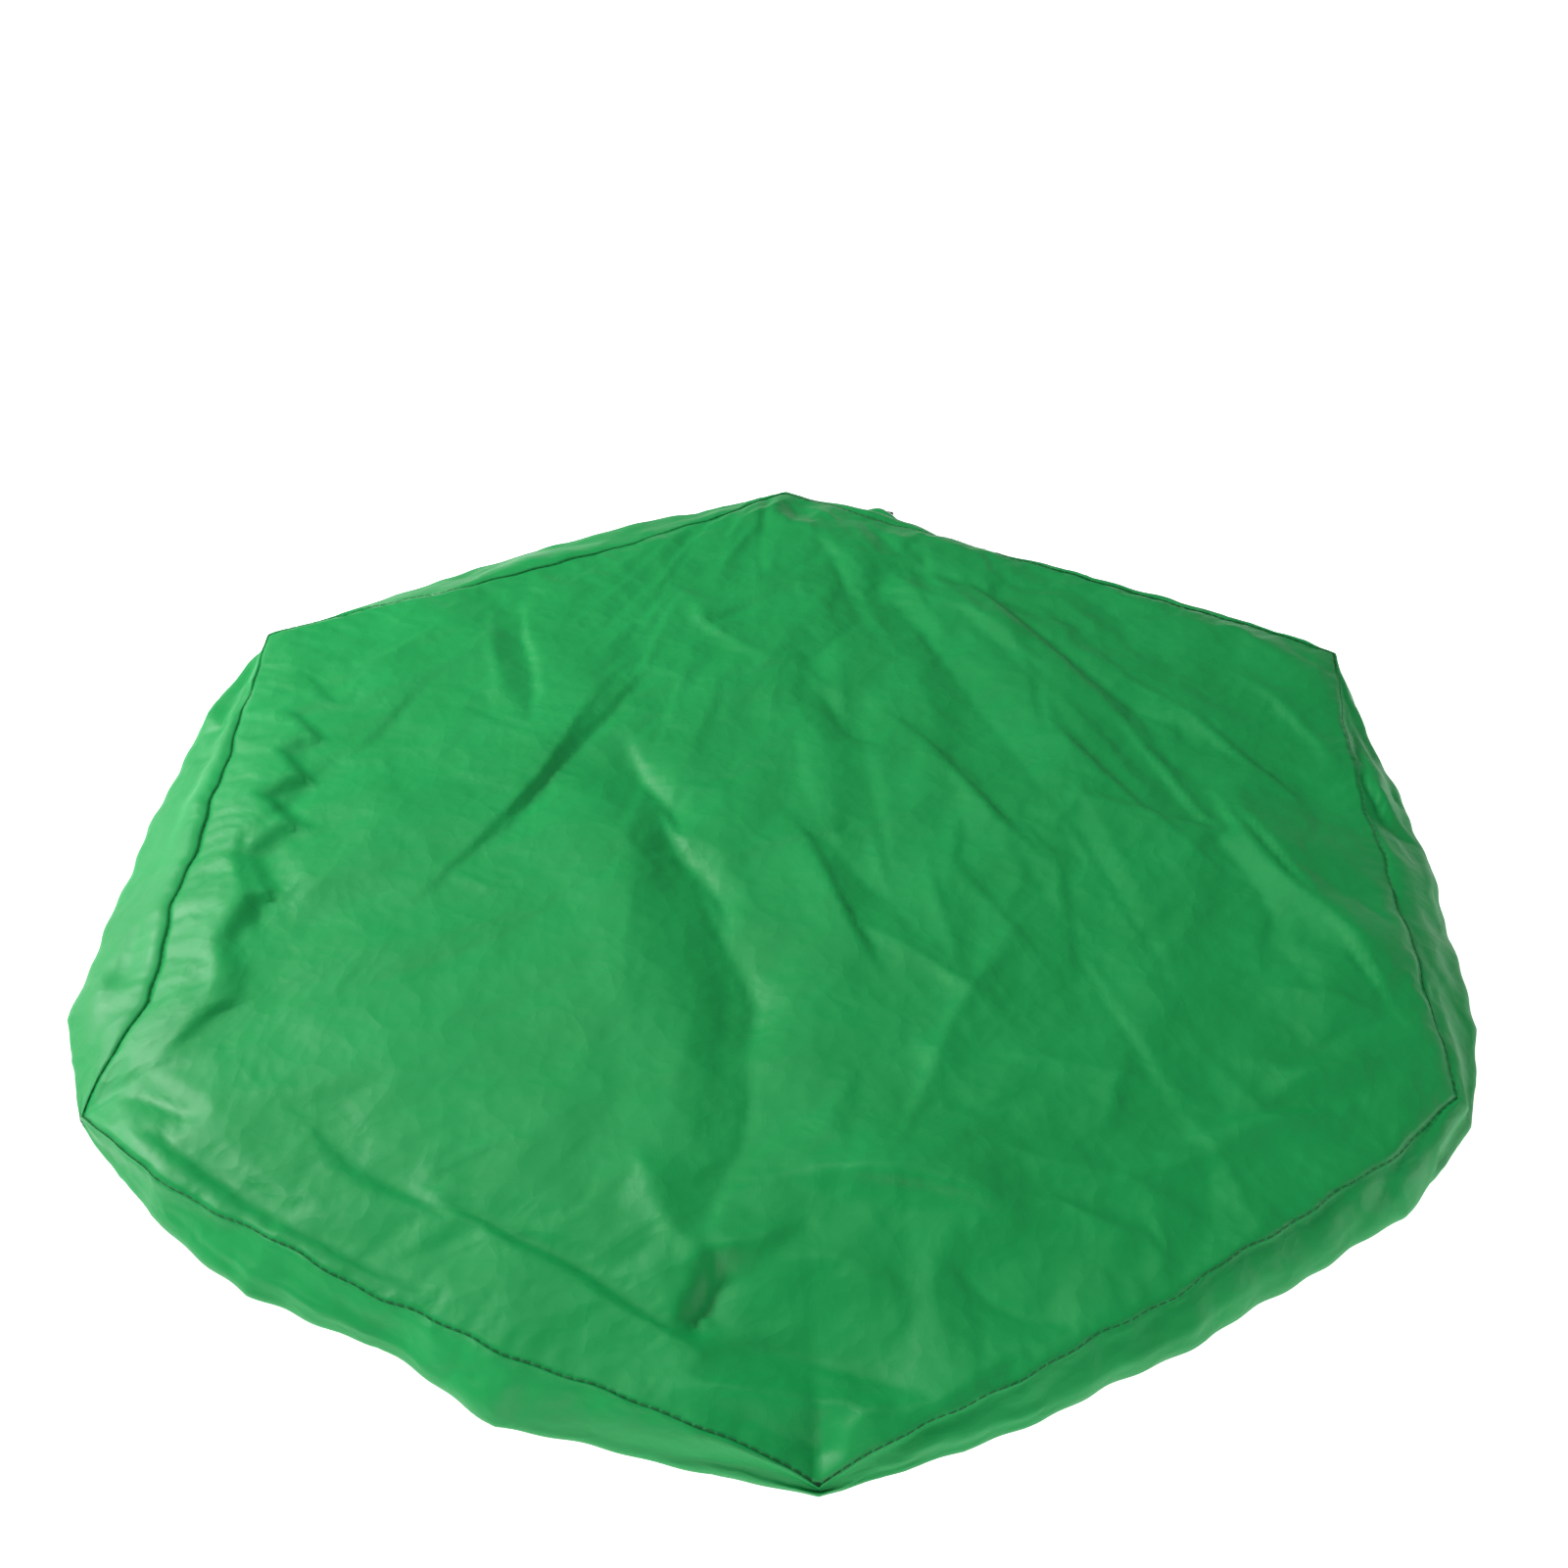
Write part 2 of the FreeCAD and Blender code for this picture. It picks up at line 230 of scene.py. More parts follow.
def tie_knot(name, node, route):
    """A trefoil of cord round the route's end, resting on the ground."""
    run = (Vector(route[-1]) - Vector(route[-2])).normalized()
    middle = Vector(route[-1]) + run * knot_setback
    ahead = run.to_track_quat("X", "Z")
    curve = bpy.data.curves.new(name, "CURVE")
    curve.dimensions = "3D"
    curve.bevel_depth = knot_cord / 2
    curve.bevel_resolution = 4
    spline = curve.splines.new("NURBS")
    spline.points.add(knot_points - 1)
    for index, point in enumerate(spline.points):
        t = 2 * math.pi * index / knot_points
        loop = Vector((-math.sin(3 * t) * knot_depth, math.sin(t) + 2 * math.sin(2 * t),
                       math.cos(t) - 2 * math.cos(2 * t)))
        place = ahead @ (loop * knot_size / trefoil_reach)
        point.co = (*(middle + place), 1.0)
    spline.use_cyclic_u = True
    spline.order_u = 3
    spline.resolution_u = 6
    mesh = as_mesh(curve, name)
    lowest = min(v.co.z for v in mesh.vertices)
    mesh.transform(Matrix.Translation((0, 0, knot_floor - lowest)))
    knot = add_piece(name, mesh)
    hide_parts(node)
    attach(knot, "cover")
    return knot


long_knot = tie_knot("long_end_knot", "knot_long", long_route)
short_knot = tie_knot("short_end_knot", "knot_short", short_route)
lock_pieces = [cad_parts["lock_barrel"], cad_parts["lock_plunger"], spring]
print("knots tied:", long_knot.name, "and", short_knot.name)

# %% [markdown]
# ## Where the cloth lies
# The panel and the skirt meet in one sewn line, so both are made from the same functions:
# the seam's place for any distance round the cover, and how far the skirt stands out past
# it. Corners are counted anticlockwise from the back one. A laid cover is never quite
# regular, so each corner is pulled a little from its place in the design.

# %% Seam and outline
seam_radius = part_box("top_panel")[1].y
seam_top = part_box("top_seam_thread")[1].z
hem_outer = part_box("casing_right")[1].x
hem_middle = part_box("drawstring")[1].x - cord_width / 2
sides = 6
back_corner_angle = 90.0
corner_pulls = [
    (-0.015, -0.020),
    (-0.007, -0.003),
    (-0.019, 0.010),
    (0.026, 0.029),
    (-0.012, 0.043),
    (0.022, 0.001),
]
# the front corner and the one to its left are pulled down towards the ground
corner_dips = [0.004, 0.004, 0.031, 0.031, 0.007, 0.004]
# how far the seam bows out of its side, at even steps from corner to corner
seam_bows = [
    (-0.018, -0.021, -0.019, -0.018, -0.010),
    (-0.007, -0.013, -0.020, -0.020, -0.032),
    (0.035, 0.037, 0.037, 0.031, 0.017),
    (0.016, 0.023, 0.027, 0.024, 0.021),
    (-0.004, -0.008, -0.011, -0.013, -0.011),
    (0.000, 0.002, 0.000, -0.004, -0.006),
]
# how far the skirt stands out past the seam, at the same steps
skirt_bulges = [
    (0.050, 0.072, 0.078, 0.068, 0.044),
    (0.050, 0.066, 0.076, 0.074, 0.084),
    (0.014, 0.034, 0.020, 0.038, 0.020),
    (0.016, 0.022, 0.027, 0.029, 0.033),
    (0.054, 0.058, 0.062, 0.054, 0.032),
    (0.026, 0.026, 0.020, 0.012, 0.042),
]
corner_bulges = [0.022, 0.005, 0.003, 0.003, 0.020, 0.004]
# small waves of the seam, sideways and up: (height, radians for each side, start)
seam_wander = [(0.0016, 31.0, 1.0), (0.0010, 83.0, 2.0)]
seam_ride = [(0.0018, 9.0, 0.5), (0.0010, 27.0, 0.0)]
seam_drop = 0.005
dip_reach = 0.07
corners = []
for index, (pull_x, pull_y) in enumerate(corner_pulls):
    angle = math.radians(back_corner_angle + 360 / sides * index)
    place = (seam_radius * math.cos(angle) + pull_x, seam_radius * math.sin(angle) + pull_y)
    corners.append(place)
corners = np.array(corners)
print("laid corners", corners.round(3).tolist())


def along_sides(values, ends, t):
    """Reads evenly spaced values of each side, with the corners' own values at its ends."""
    steps = np.arange(len(values[0]) + 2) / (len(values[0]) + 1)
    out = np.zeros_like(t)
    for side in range(sides):
        row = [ends[side], *values[side], ends[(side + 1) % sides]]
        chosen = np.floor(t).astype(int) % sides == side
        out[chosen] = np.interp(t[chosen] % 1, steps, row)
    return out


def side_normals(t, ease=0.10):
    """Outward directions of the sides, turning over a short stretch at each corner."""
    out = np.zeros((len(t), 2))
    for shift in np.linspace(-ease, ease, 9):
        side = np.floor(t + shift).astype(int) % sides
        run = corners[(side + 1) % sides] - corners[side]
        run /= np.linalg.norm(run, axis=1)[:, None]
        out += np.stack([run[:, 1], -run[:, 0]], 1)
    return out / np.linalg.norm(out, axis=1)[:, None]


def ripple(waves, t):
    """The sum of a list of waves at each t."""
    return sum(height * np.sin(t * rate + start) for height, rate, start in waves)


def puckers(t):
    """The seam's small gathers, which the panel and the skirt share."""
    return np.sin(t * 190 + 3 * np.sin(t * 17))


def seam_plan(t):
    """The seam's line on the ground plan. t counts sides: 2.5 is the middle of side 2."""
    side = np.floor(t).astype(int) % sides
    part = (t % 1)[:, None]
    straight = corners[side] * (1 - part) + corners[(side + 1) % sides] * part
    bow = along_sides(seam_bows, [0] * sides, t)[:, None]
    wander = ripple(seam_wander, t) * np.sin(np.pi * (t % 1)) ** 0.5
    return straight + side_normals(t) * (bow + wander[:, None])


def seam_height(t):
    """The seam lies lower at its corners and rides up and down between them."""
    near = np.exp(-((0.5 - np.abs(t % 1 - 0.5)) / dip_reach))
    dip = np.array(corner_dips)[np.round(t).astype(int) % sides]
    return seam_top - seam_drop - dip * near + ripple(seam_ride, t) * (1 - near)


# %% [markdown]
# ## Creases
# Thin coated cloth creases in sharp lines with nearly flat faces between them. A noise
# texture gives soft lumps instead. So the small creases here come from facets: seeded
# points are joined into triangles, each point is lifted or lowered a little, and the
# cloth takes its height from the triangle above it. Stretching the points' spacing turns
# the facets into long folds. The large folds are placed one by one.

# %% Crease tools
fold_span = 0.42        # half of a fold's full-height stretch, as a share of its length
fold_wander = 0.35      # how far its line strays, as a share of its width
fold_sharpness = 1.25
mean_reach = 0.9        # turns an angle round a far centre into metres


def press_line(places, start, end, height, width, lean=0.0):
    """The height that one fold adds at each place. lean makes one side steeper."""
    start = np.asarray(start, float)
    run = np.asarray(end, float) - start
    length = np.linalg.norm(run)
    run /= length
    off = places - start
    along = off @ run / length
    across = off @ np.array([-run[1], run[0]])
    taper = np.exp(-((along - 0.5) / fold_span) ** 4)
    side_width = width * np.where(across > 0, 1 + lean, 1 - lean) * (0.4 + 0.6 * taper)
    across = across + fold_wander * width * np.sin(along * 5 + length * 40)
    return height * taper * np.exp(-(np.abs(across) / side_width) ** fold_sharpness)


def press_facets(places, spacing, height, seed):
    """Heights from seeded triangles that are about spacing wide, with sharp edges."""
    rng = np.random.default_rng(seed)
    low = places.min(0) - spacing
    high = places.max(0) + spacing
    count = int(np.prod((high - low) / spacing))
    points = [Vector(p) for p in rng.uniform(low, high, (count, 2))]
    edge = [(low[0], low[1]), (high[0], low[1]), (high[0], high[1]), (low[0], high[1])]
    points += [Vector(p) for p in edge]
    found = delaunay_2d_cdt(points, [], [], 0, 0.00001)
    lifts = rng.uniform(-height, height, len(found[0]))
    facets = [(*p, lift) for p, lift in zip(found[0], lifts)]
    tree = BVHTree.FromPolygons(facets, found[2])
    down = Vector((0, 0, -1))
    hits = [tree.ray_cast(Vector((*place, 1.0)), down)[0] for place in places]
    return np.array([hit.z if hit else 0.0 for hit in hits])


def fan_out(places, centre, stretch):
    """Turn and distance round a centre, so that facets made in them point towards it."""
    off = places - np.asarray(centre)
    reach = np.linalg.norm(off, axis=1)
    turn = np.arctan2(off[:, 0], -off[:, 1])
    return np.column_stack([turn * mean_reach, reach / stretch])


# Folds of the top panel: start x, y, end x, y, height and width, all in millimetres, and lean.
folds_mm = [
    (-390, 270, -470, 120, -3, 14, 0.5), (-470, 130, -550, -20, -3, 14, 0.5),
    (-550, -10, -500, -170, -4, 14, 0.3), (-420, 100, -460, -120, 5, 50, 0.0),
    (-200, 270, -340, -60, 6, 20, -0.5), (-180, 250, -290, 0, -5, 14, 0.4),
    (-320, 380, -290, 190, -6, 14, -0.5), (-350, 370, -330, 200, 4, 14, 0.2),
    (-140, 440, -80, 340, 4, 12, 0.3), (-40, 420, -120, 340, -4, 12, 0.0),
    (-120, 380, -30, 300, 3, 10, 0.0), (-180, 160, -120, 0, -11, 26, -0.4),
    (-130, 30, -60, -140, -12, 28, -0.4), (-70, -100, -30, -300, -12, 32, -0.3),
    (-40, -270, -60, -500, -6, 30, -0.2), (-220, 100, -120, -280, 9, 50, 0.0),
    (-130, -400, -60, -520, 9, 18, 0.3), (0, -460, -70, -510, 8, 16, 0.0),
    (-65, -485, -65, -570, -16, 20, 0.5), (-70, -545, 110, -615, -13, 36, 0.3),
    (-30, 620, 110, 450, 8, 40, 0.3), (90, 470, 280, 350, 7, 34, 0.3),
    (120, 500, 340, 390, -5, 22, 0.0), (20, 240, 90, 150, -6, 18, 0.5),
    (-10, 40, 90, -190, 6, 14, -0.6), (30, 20, 110, -120, -4, 14, 0.2),
    (110, 190, 250, -20, 6, 14, -0.5), (270, 200, 430, -50, 6, 15, -0.5),
    (390, 270, 540, 80, 5, 12, -0.5), (340, 220, 450, 80, -4, 16, 0.0),
    (500, 310, 600, 120, 6, 22, 0.4), (450, 80, 560, -220, 14, 45, 0.6),
    (420, 20, 500, -200, -6, 30, 0.0), (190, -270, 370, -330, 4, 10, 0.3),
    (300, -260, 280, -360, 3, 10, 0.0), (0, -412, 220, -448, 14, 30, 0.5),
    (180, -380, 360, -460, 4, 18, 0.0), (-550, -380, -300, -530, -7, 12, 0.4),
    (-580, -390, -340, -550, 6, 16, 0.0), (-410, -370, -290, -460, -5, 12, 0.3),
    (-270, -450, -80, -560, -6, 14, 0.4), (-90, -600, 100, -640, 12, 20, 0.0),
    (-80, -625, 60, -655, -9, 10, 0.0), (50, -100, 200, -240, 4, 12, 0.4),
    (140, -40, 160, -220, 4, 12, -0.4), (220, -100, 100, -360, 4, 16, 0.3),
    (400, -280, 520, -300, 5, 14, 0.3), (300, -400, 460, -340, 5, 16, 0.0),
    (40, -655, 80, -615, 5, 7, 0.3), (70, -640, 180, -580, 6, 8, 0.4),
    (120, -490, 240, -560, -11, 28, 0.3), (100, -520, -20, -500, 8, 30, 0.2),
    (-20, 650, -70, 590, 5, 8, 0.3), (-10, 650, 0, 585, -4, 7, 0.0),
    (0, 650, 50, 600, 5, 8, -0.3), (-600, -325, -520, -280, 4, 10, 0.3),
    (-590, -335, -500, -360, -5, 10, 0.0), (540, -270, 420, -310, 6, 10, 0.3),
    (550, -220, 440, -190, 5, 12, 0.3), (480, -340, 360, -360, 6, 10, 0.3),
    (300, -470, 200, -440, 6, 12, 0.3),
]
panel_folds = [((x / 1000, y / 1000), (end_x / 1000, end_y / 1000), high / 1000, wide / 1000, lean)
               for x, y, end_x, end_y, high, wide, lean in folds_mm]
print(len(panel_folds), "folds placed by hand")

# %% [markdown]
# ## Top panel
# On the real cover this is one flat hexagon of cloth, 1.4 m from corner to corner. A
# square grid would leave ragged edges on a hexagon, so this one starts as a six-sided
# circle of triangles that subdivide_edges splits into even smaller triangles. Their
# edges run along the seam, and cloth made of even triangles creases the same way in
# every direction.

# %% Cut the panel and lay it
panel_cuts = 119
panel_level = seam_top - 0.001
panel_crown = 0.006
panel_lip = 0.0010
crown_reach = 0.25
seam_hold = 0.07        # how far in from the seam the panel follows the seam's height
fold_fade = 0.014       # how far in from the seam the folds fade
pucker_height = 0.0007
# the panel stands up in one scalloped step along its left side, between t 1.1 and 2.0
step_height = 0.0150
step_middle = 1.55
step_half = 0.42
step_sharpness = 0.0045
# facets of the panel: (the centre they point to, stretch, spacing, height, seed)
panel_facets = [
    ((-0.03, 0.80), 3.0, 0.085, 0.0062, 11),
    ((-0.03, 0.80), 6.0, 0.045, 0.0024, 14),
    ((0.10, 0.95), 2.0, 0.040, 0.0017, 12),
]
# the left of the panel is pulled tight, and it slackens from there to the right
slack_from = -0.30
slack_over = 0.34
least_slack = 0.22


def cut_hexagon():
    """A flat unit hexagon, with one corner at the back, of small even triangles."""
    blank = bmesh.new()
    bmesh.ops.create_circle(blank, cap_ends=True, cap_tris=True, segments=sides, radius=1.0)
    bmesh.ops.subdivide_edges(blank, edges=blank.edges[:], cuts=panel_cuts, use_grid_fill=True)
    bmesh.ops.recalc_face_normals(blank, faces=blank.faces[:])
    if blank.faces[0].normal.z < 0:
        bmesh.ops.reverse_faces(blank, faces=blank.faces[:])
    return blank


def round_the_cover(flat):
    """For each point of the unit hexagon: t round the cover, and its share from the middle."""
    turn = (np.degrees(np.arctan2(flat[:, 1], flat[:, 0])) - back_corner_angle) % 360
    side = np.minimum((turn / 60).astype(int), sides - 1)
    first = np.radians(back_corner_angle + 60 * side)
    second = first + math.pi / 3
    cross = np.cos(first) * np.sin(second) - np.sin(first) * np.cos(second)
    toward_first = (flat[:, 0] * np.sin(second) - flat[:, 1] * np.cos(second)) / cross
    toward_second = (flat[:, 1] * np.cos(first) - flat[:, 0] * np.sin(first)) / cross
    share = toward_first + toward_second
    part = toward_second / np.maximum(share, 1e-9)
    return side + np.clip(part, 0, 0.99999), share


def lay_panel(blank):
    """Moves the flat hexagon's points to where the panel lies, with its folds."""
    flat = np.array([v.co[:] for v in blank.verts])[:, :2]
    t, share = round_the_cover(flat)
    plan = seam_plan(t) * share[:, None]
    inward = (1 - share) * seam_radius * math.cos(math.pi / sides)
    near_seam = np.exp(-inward / seam_hold)
    level = seam_height(t) * near_seam + panel_level * (1 - near_seam)
    lip = panel_lip * (1 - np.exp(-inward / 0.003))
    rise = np.clip(inward / crown_reach, 0, 1)
    level += lip + panel_crown * rise * rise * (3 - 2 * rise)
    left_side = np.exp(-((t - step_middle) / step_half) ** 4)
    scallops = np.abs((t * 6.3 + 0.5 * np.sin(t * 5)) % 1 - 0.4)
    step_at = 0.062 + 0.060 * scallops
    outside_step = 1 / (1 + np.exp((inward - step_at) / step_sharpness))
    level += step_height * left_side * outside_step * (1 - np.exp(-inward / 0.045))
    pressed = sum(press_line(plan, *fold) for fold in panel_folds)
    crumples = sum(press_facets(fan_out(plan, centre, stretch), *facets)
                   for centre, stretch, *facets in panel_facets)
    crumples += press_facets(plan, 0.030, 0.0006, 13)
    slack = np.clip((plan[:, 0] - slack_from) / slack_over, 0, 1)
    inside = 1 - np.exp(-inward / fold_fade)
    level += pressed * inside
    level += crumples * (least_slack + 0.78 * slack) * inside
    pucker = puckers(t) * np.exp(-inward / 0.010)
    level += pucker_height * pucker * (1 - np.exp(-inward / 0.003))
    return np.column_stack([plan, level])


panel_blank = cut_hexagon()
panel_flat = [v.co.copy() * seam_radius for v in panel_blank.verts]
panel_places = lay_panel(panel_blank)
print("panel points", len(panel_places), "height", panel_places[:, 2].min().round(4),
      panel_places[:, 2].max().round(4))

for vert, place in zip(panel_blank.verts, panel_places):
    vert.co = place
flat_cut = panel_blank.loops.layers.uv.new("flat_cut")
for face in panel_blank.faces:
    for loop in face.loops:
        loop[flat_cut].uv = panel_flat[loop.vert.index][:2]
panel_inside = [v for v in panel_blank.verts if not v.is_boundary]
bmesh.ops.smooth_vert(panel_blank, verts=panel_inside, factor=0.3,
                      use_axis_x=True, use_axis_y=True, use_axis_z=True)
top_panel = to_piece("top_panel_cloth", panel_blank)

# %% [markdown]
# ## Letting the panel settle
# Folds placed one by one look drawn until the cloth has found its own balance. Here the seam is
# held, gravity is off, and the sheet grows by less than a hundredth, so that it buckles
# along the folds it already has. Gravity on a real floor would be the honest way, but the
# cloth could sag below the design, so growth does the work. The result is applied.

# %% Settle the panel
settle_frames = 14
settle_growth = 0.0045
settle_reach = 0.006


def settle(piece, held):
    """Runs a short cloth simulation and keeps its result, within a set reach."""
    before = np.array([v.co[:] for v in piece.data.vertices])
    group = piece.vertex_groups.new(name="held")
    group.add(held, 1.0, "REPLACE")
    cloth = piece.modifiers.new("settle", "CLOTH")
    cloth.settings.quality = 4
    cloth.settings.mass = 0.15
    cloth.settings.tension_stiffness = 20
    cloth.settings.compression_stiffness = 20
    cloth.settings.shear_stiffness = 8
    cloth.settings.bending_stiffness = 0.1
    cloth.settings.air_damping = 3
    cloth.settings.shrink_min = -settle_growth
    cloth.settings.shrink_max = -settle_growth
    cloth.settings.vertex_group_mass = "held"
    cloth.settings.effector_weights.gravity = 0
    cloth.collision_settings.use_collision = False
    cloth.collision_settings.use_self_collision = False
    cloth.point_cache.frame_start = 1
    cloth.point_cache.frame_end = settle_frames
    for number in range(1, settle_frames + 1):
        bpy.context.scene.frame_set(number)
    result = piece.evaluated_get(bpy.context.evaluated_depsgraph_get())
    after = np.array([v.co[:] for v in result.data.vertices])
    piece.modifiers.remove(cloth)
    piece.vertex_groups.remove(group)
    bpy.context.scene.frame_set(1)
    move = after - before
    size = np.linalg.norm(move, axis=1)
    scale = np.minimum(1, settle_reach / np.maximum(size, 1e-9))
    after = before + move * scale[:, None]
    piece.data.vertices.foreach_set("co", after.astype(np.float32).ravel())
    piece.data.update()
    print(piece.name, "settled: moved up to", size.max().round(4))


panel_share = round_the_cover(np.array([v[:2] for v in panel_flat]) / seam_radius)[1]
seam_verts = [int(i) for i in np.nonzero(panel_share > 0.999)[0]]
print("seam points held:", len(seam_verts))
settle(top_panel, seam_verts)

# %% [markdown]
# ## Skirt
# The skirt is one strip, sewn to the panel along its top and joined to itself end to end.
# It stands out past the seam, rolls over at the ground and runs back under the cover to
# the drawn-in hem. A cloth simulation of the whole puffed strip could wander from the
# design, so a grid is laid on section lines instead: each column of the grid follows one
# section from the seam to the hem, and averaging along it rounds the fold.

# %% Sections of the skirt
skirt_columns = 1080
skirt_rows = 40
strip_depth = 0.23
join_at = 5.6           # t of the strip's join, on the side behind and to the right
outline_height = 0.011
ground_gap = 0.0012
hem_edge = hem_outer - 0.004
# the skirt is lifted in an arch over the lock and the cord's tails, and its outer side more
arch_middle = (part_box("lock_barrel")[0].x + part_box("lock_plunger")[1].x) / 2
arch_half = 0.042
arch_height = 0.0225
arch_height_outside = 0.036
arch_least = 0.010
arch_fall = 0.50        # how steeply the arch comes down past the lock
lock_back = 0.66
outer_share = 0.38      # the share of the strip's depth that lies on the outside
# gathers of the hem: (how many go round, size, start)
gather_waves = [(97, 0.5, 0.3), (131, 0.6, 1.9), (173, 0.5, 4.1), (241, 0.35, 2.2)]
flat_middle = math.radians(30)
flat_half = math.radians(22)
flat_fade = math.radians(14)
flat_least = 0.12

columns = np.linspace(0, 1, skirt_columns + 1)
t_columns = (join_at + columns * sides) % sides
seam = seam_plan(t_columns)
seam_z = seam_height(t_columns)
out_way = side_normals(t_columns)
bulge = along_sides(skirt_bulges, corner_bulges, t_columns)
outline = seam + out_way * bulge[:, None]
hem_turn = np.arctan2(seam[:, 1], seam[:, 0])
hem_line = np.stack([np.cos(hem_turn), np.sin(hem_turn)], 1) * hem_edge


def gathers(turn):
    """Small pleats of the drawn hem, from -1 to 1, uneven round the cover."""
    waves = np.zeros_like(turn)
    for count, size, start in gather_waves:
        waves += size * np.sin(count * turn + start + 1.5 * np.sin(5 * turn + start))
    return np.tanh(waves)


def gather_strength(turn):
    """The hem is gathered everywhere but on a flat stretch behind and to the right."""
    off = np.abs((turn - flat_middle + math.pi) % (2 * math.pi) - math.pi)
    return np.clip((off - flat_half) / flat_fade, flat_least, 1)


def section(out, down, height):
    """One control line round the cover: shares from the seam to the outline or the hem."""
    plan = seam + (outline - seam) * out
    plan = plan + (hem_line - plan) * down
    return np.column_stack([plan, np.broadcast_to(height, seam_z.shape)])


puff = 0.5 + 0.5 * np.sin(hem_turn)         # the skirt stands fuller at the back
shoulder = seam_z * (0.80 + 0.13 * puff) + 0.001
slope = seam_z * (0.48 + 0.22 * puff) + 0.001
sections = [
    (0.00, section(0.00, 0.0, seam_z)),
    (0.03, section(0.05, 0.0, seam_z + 0.0004)),
    (0.12, section(0.35, 0.0, shoulder)),
    (0.22, section(0.72, 0.0, slope)),
    (0.31, section(0.96, 0.0, seam_z * (0.18 + 0.24 * puff) + 0.006)),
    (0.36, section(1.03, 0.0, outline_height)),
    (0.39, section(1.01, 0.0, outline_height * 0.45)),
    (0.44, section(0.92, 0.02, ground_gap)),
    (0.60, section(0.90, 0.30, ground_gap + 0.002)),
    (0.80, section(0.90, 0.68, ground_gap + 0.003)),
    (1.00, section(0.90, 1.0, ground_gap + 0.004)),
]
rows = np.linspace(0, 1, skirt_rows + 1)
stops = [stop for stop, _ in sections]
lines = np.array([line for _, line in sections])
net = np.zeros((skirt_rows + 1, skirt_columns + 1, 3))
for axis in range(3):
    for column in range(skirt_columns + 1):
        net[:, column, axis] = np.interp(rows, stops, lines[:, column, axis])
for _ in range(2):
    net[1:-1] = (net[:-2] + 2 * net[1:-1] + net[2:]) / 4
print("skirt net", net.shape)

# %% [markdown]
# ## Folds of the skirt
# The strip's creases are drawn on its flat pattern, where a place is a distance along the
# strip and a depth down from the seam, and then pushed out along the cloth's own normal.
# Gathers are strongest at the hem and fade towards the outside, as they do where a cord
# draws a wide strip into a smaller ring.

# %% Crease the skirt
strip_length = 4.2
join_reach = 0.02       # share of the strip in which its creases fade at the join
join_depth = 0.0022
pleat_height = 0.0058
roll_height = 0.0052
strip_places = np.stack(np.meshgrid(columns * strip_length, rows * strip_depth), 2)


def net_normals(grid):
    """The direction that each point of the net faces, outwards."""
    across = np.gradient(grid, axis=1)
    across[:, 0] = across[:, -1] = (grid[:, 1] - grid[:, -2]) / 2
    face = np.cross(np.gradient(grid, axis=0), across)
    return face / np.maximum(np.linalg.norm(face, axis=2), 1e-12)[:, :, None]


flat_places = strip_places.reshape(-1, 2)
leaning = flat_places @ np.array([[1.0, 0.0], [0.9, 1.0]])
creases = press_facets(leaning / np.array([3.2, 1.0]), 0.042, 0.0070, 21)
creases += press_facets(leaning / np.array([1.6, 1.0]), 0.022, 0.0015, 22)
creases += press_facets(flat_places, 0.018, 0.0005, 23)
creases = creases.reshape(skirt_rows + 1, skirt_columns + 1)
wrap = np.minimum(columns, 1 - columns) / join_reach
creases *= np.clip(wrap, 0, 1)[None, :]
from_seam = (1 - np.exp(-rows / 0.04)) * (1 - 0.90 * np.exp(-((rows - 0.37) / 0.10) ** 2))
pucker = puckers(t_columns)[None, :]
creases = creases * from_seam[:, None] + pucker_height * pucker * (
    np.exp(-rows / 0.05) * from_seam)[:, None]
at_join = np.exp(-wrap * join_reach * strip_length / 0.004)
creases -= join_depth * at_join[None, :] * np.clip(rows / 0.02, 0, 1)[:, None]
net += net_normals(net) * creases[:, :, None]

gather_rows = np.clip((rows - 0.50) / 0.50, 0, 1) ** 2
pleats = (1 + gathers(hem_turn)) * gather_strength(hem_turn)
net[:, :, 2] += pleat_height * gather_rows[:, None] * pleats[None, :]
rolls = (1 + np.sin(hem_turn * 43 + 2 * np.sin(hem_turn * 3))) * gather_strength(hem_turn)
roll_rows = np.clip((rows - 0.42) / 0.3, 0, 1) * (1.2 - rows)
net[:, :, 2] += roll_height * roll_rows[:, None] * rolls[None, :]

arch_off = (net[:, :, 0] - arch_middle) / arch_half
past_lock = np.clip(net[:, :, 1] - lock_back, 0, 1)
outer_cloth = (rows < outer_share)[:, None]
arch_tall = np.where(outer_cloth, arch_height_outside, arch_height) - arch_fall * past_lock
arch = np.maximum(arch_tall, arch_least) * np.sqrt(np.clip(1 - arch_off ** 2, 0, 1))
arch[net[:, :, 1] < 0] = 0
net[:, :, 2] = np.maximum(net[:, :, 2], arch)
net[:, :, 2] = np.maximum(net[:, :, 2], ground_gap)
net[:, -1] = net[:, 0]


def lay_net(grid, uv_size):
    """A create_grid sheet with its points moved to the net, and its ends sewn together."""
    row_count, column_count = grid.shape[0] - 1, grid.shape[1] - 1
    sheet = bmesh.new()
    layer = sheet.loops.layers.uv.new("flat_cut")
    bmesh.ops.create_grid(sheet, x_segments=column_count, y_segments=row_count, size=0.5)
    for face in sheet.faces:
        for loop in face.loops:
            u, v = loop.vert.co.x + 0.5, loop.vert.co.y + 0.5
            loop[layer].uv = (u * uv_size[0], v * uv_size[1])
    for vert in sheet.verts:
        column = round((vert.co.x + 0.5) * column_count)
        row = round((vert.co.y + 0.5) * row_count)
        vert.co = grid[row, column]
    bmesh.ops.remove_doubles(sheet, verts=sheet.verts[:], dist=0.00001)
    return sheet


